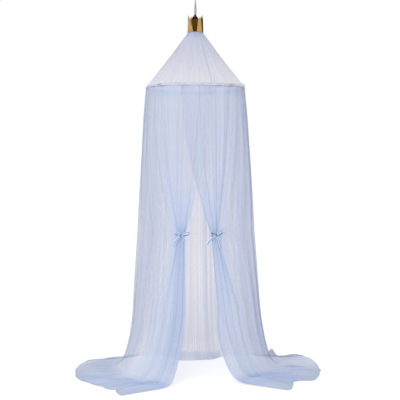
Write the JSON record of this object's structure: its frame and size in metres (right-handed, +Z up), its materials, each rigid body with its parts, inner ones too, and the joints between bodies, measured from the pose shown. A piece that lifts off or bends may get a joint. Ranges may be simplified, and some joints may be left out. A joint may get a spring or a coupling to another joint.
{
  "type": "bed crown canopy",
  "caption": "Sheer net bed canopy: a faceted gold crown over a net cone and a sprung hoop, with long drapes tied back by ribbon bows, hung by a doubled cord from a ceiling hook.",
  "frame": {"origin": "middle of the ceiling plate's upper face, where it meets the ceiling", "axes": "+Z up out of the ceiling plate's upper face; the open front with the two bows faces -Y; +X is to the right as the front is seen. Everything hangs below the origin, and the floor is at z = -2.4 m"},
  "size_m": [1.5877, 0.8693, 2.3997],
  "materials": {
    "steel": "satin nickel plate",
    "cord": "twisted polyester cord",
    "disc_plastic": "moulded, satin",
    "eyelet_brass": "pressed, bright",
    "gold": "mirror polished gold plate",
    "rod": "sprung glass-fibre rod",
    "net": "sheer soft net",
    "net_binding": "net folded and sewn",
    "ribbon": "satin ribbon, shiny"
  },
  "bodies": {
    "ceiling_fitting": {"ceiling_plate": "steel", "ceiling_hook": "steel", "hanging_cord": "cord"},
    "canopy": {"cord_knot": "cord", "top_disc": "disc_plastic", "disc_eyelet": "eyelet_brass", "cone_binding": "net_binding", "cone_cover": "net", "hoop_segment_1": "rod", "hoop_ferrule_1": "steel", "hoop_segment_2": "rod", "hoop_ferrule_2": "steel", "hoop_segment_3": "rod", "hoop_ferrule_3": "steel", "hoop_segment_4": "rod", "hoop_ferrule_4": "steel", "hoop_channel": "net_binding", "drape_left_front": "net", "drape_left_side": "net", "drape_back": "net", "drape_right_side": "net", "drape_right_front": "net", "ribbon_tie_left": "ribbon", "ribbon_tie_right": "ribbon", "ribbon_bow_left": "ribbon", "ribbon_bow_right": "ribbon"},
    "crown_carrier": {"crown_grommet": "eyelet_brass"},
    "crown": {"crown_band": "gold", "crown_base": "gold"}
  },
  "joints": [
    {"name": "canopy_turn", "type": "hinge", "parent": "ceiling_fitting", "child": "canopy", "pos_m": [0, 0, 0], "axis": [0, 0, 1], "range_deg": [-180, 180]},
    {"name": "crown_lift", "type": "slide", "parent": "canopy", "child": "crown_carrier", "axis": [0, 0, 1], "range_m": [0, 0.15]},
    {"name": "crown_turn", "type": "hinge", "parent": "crown_carrier", "child": "crown", "pos_m": [0, 0, -0.26], "axis": [0, 0, 1], "continuous": true}
  ]
}
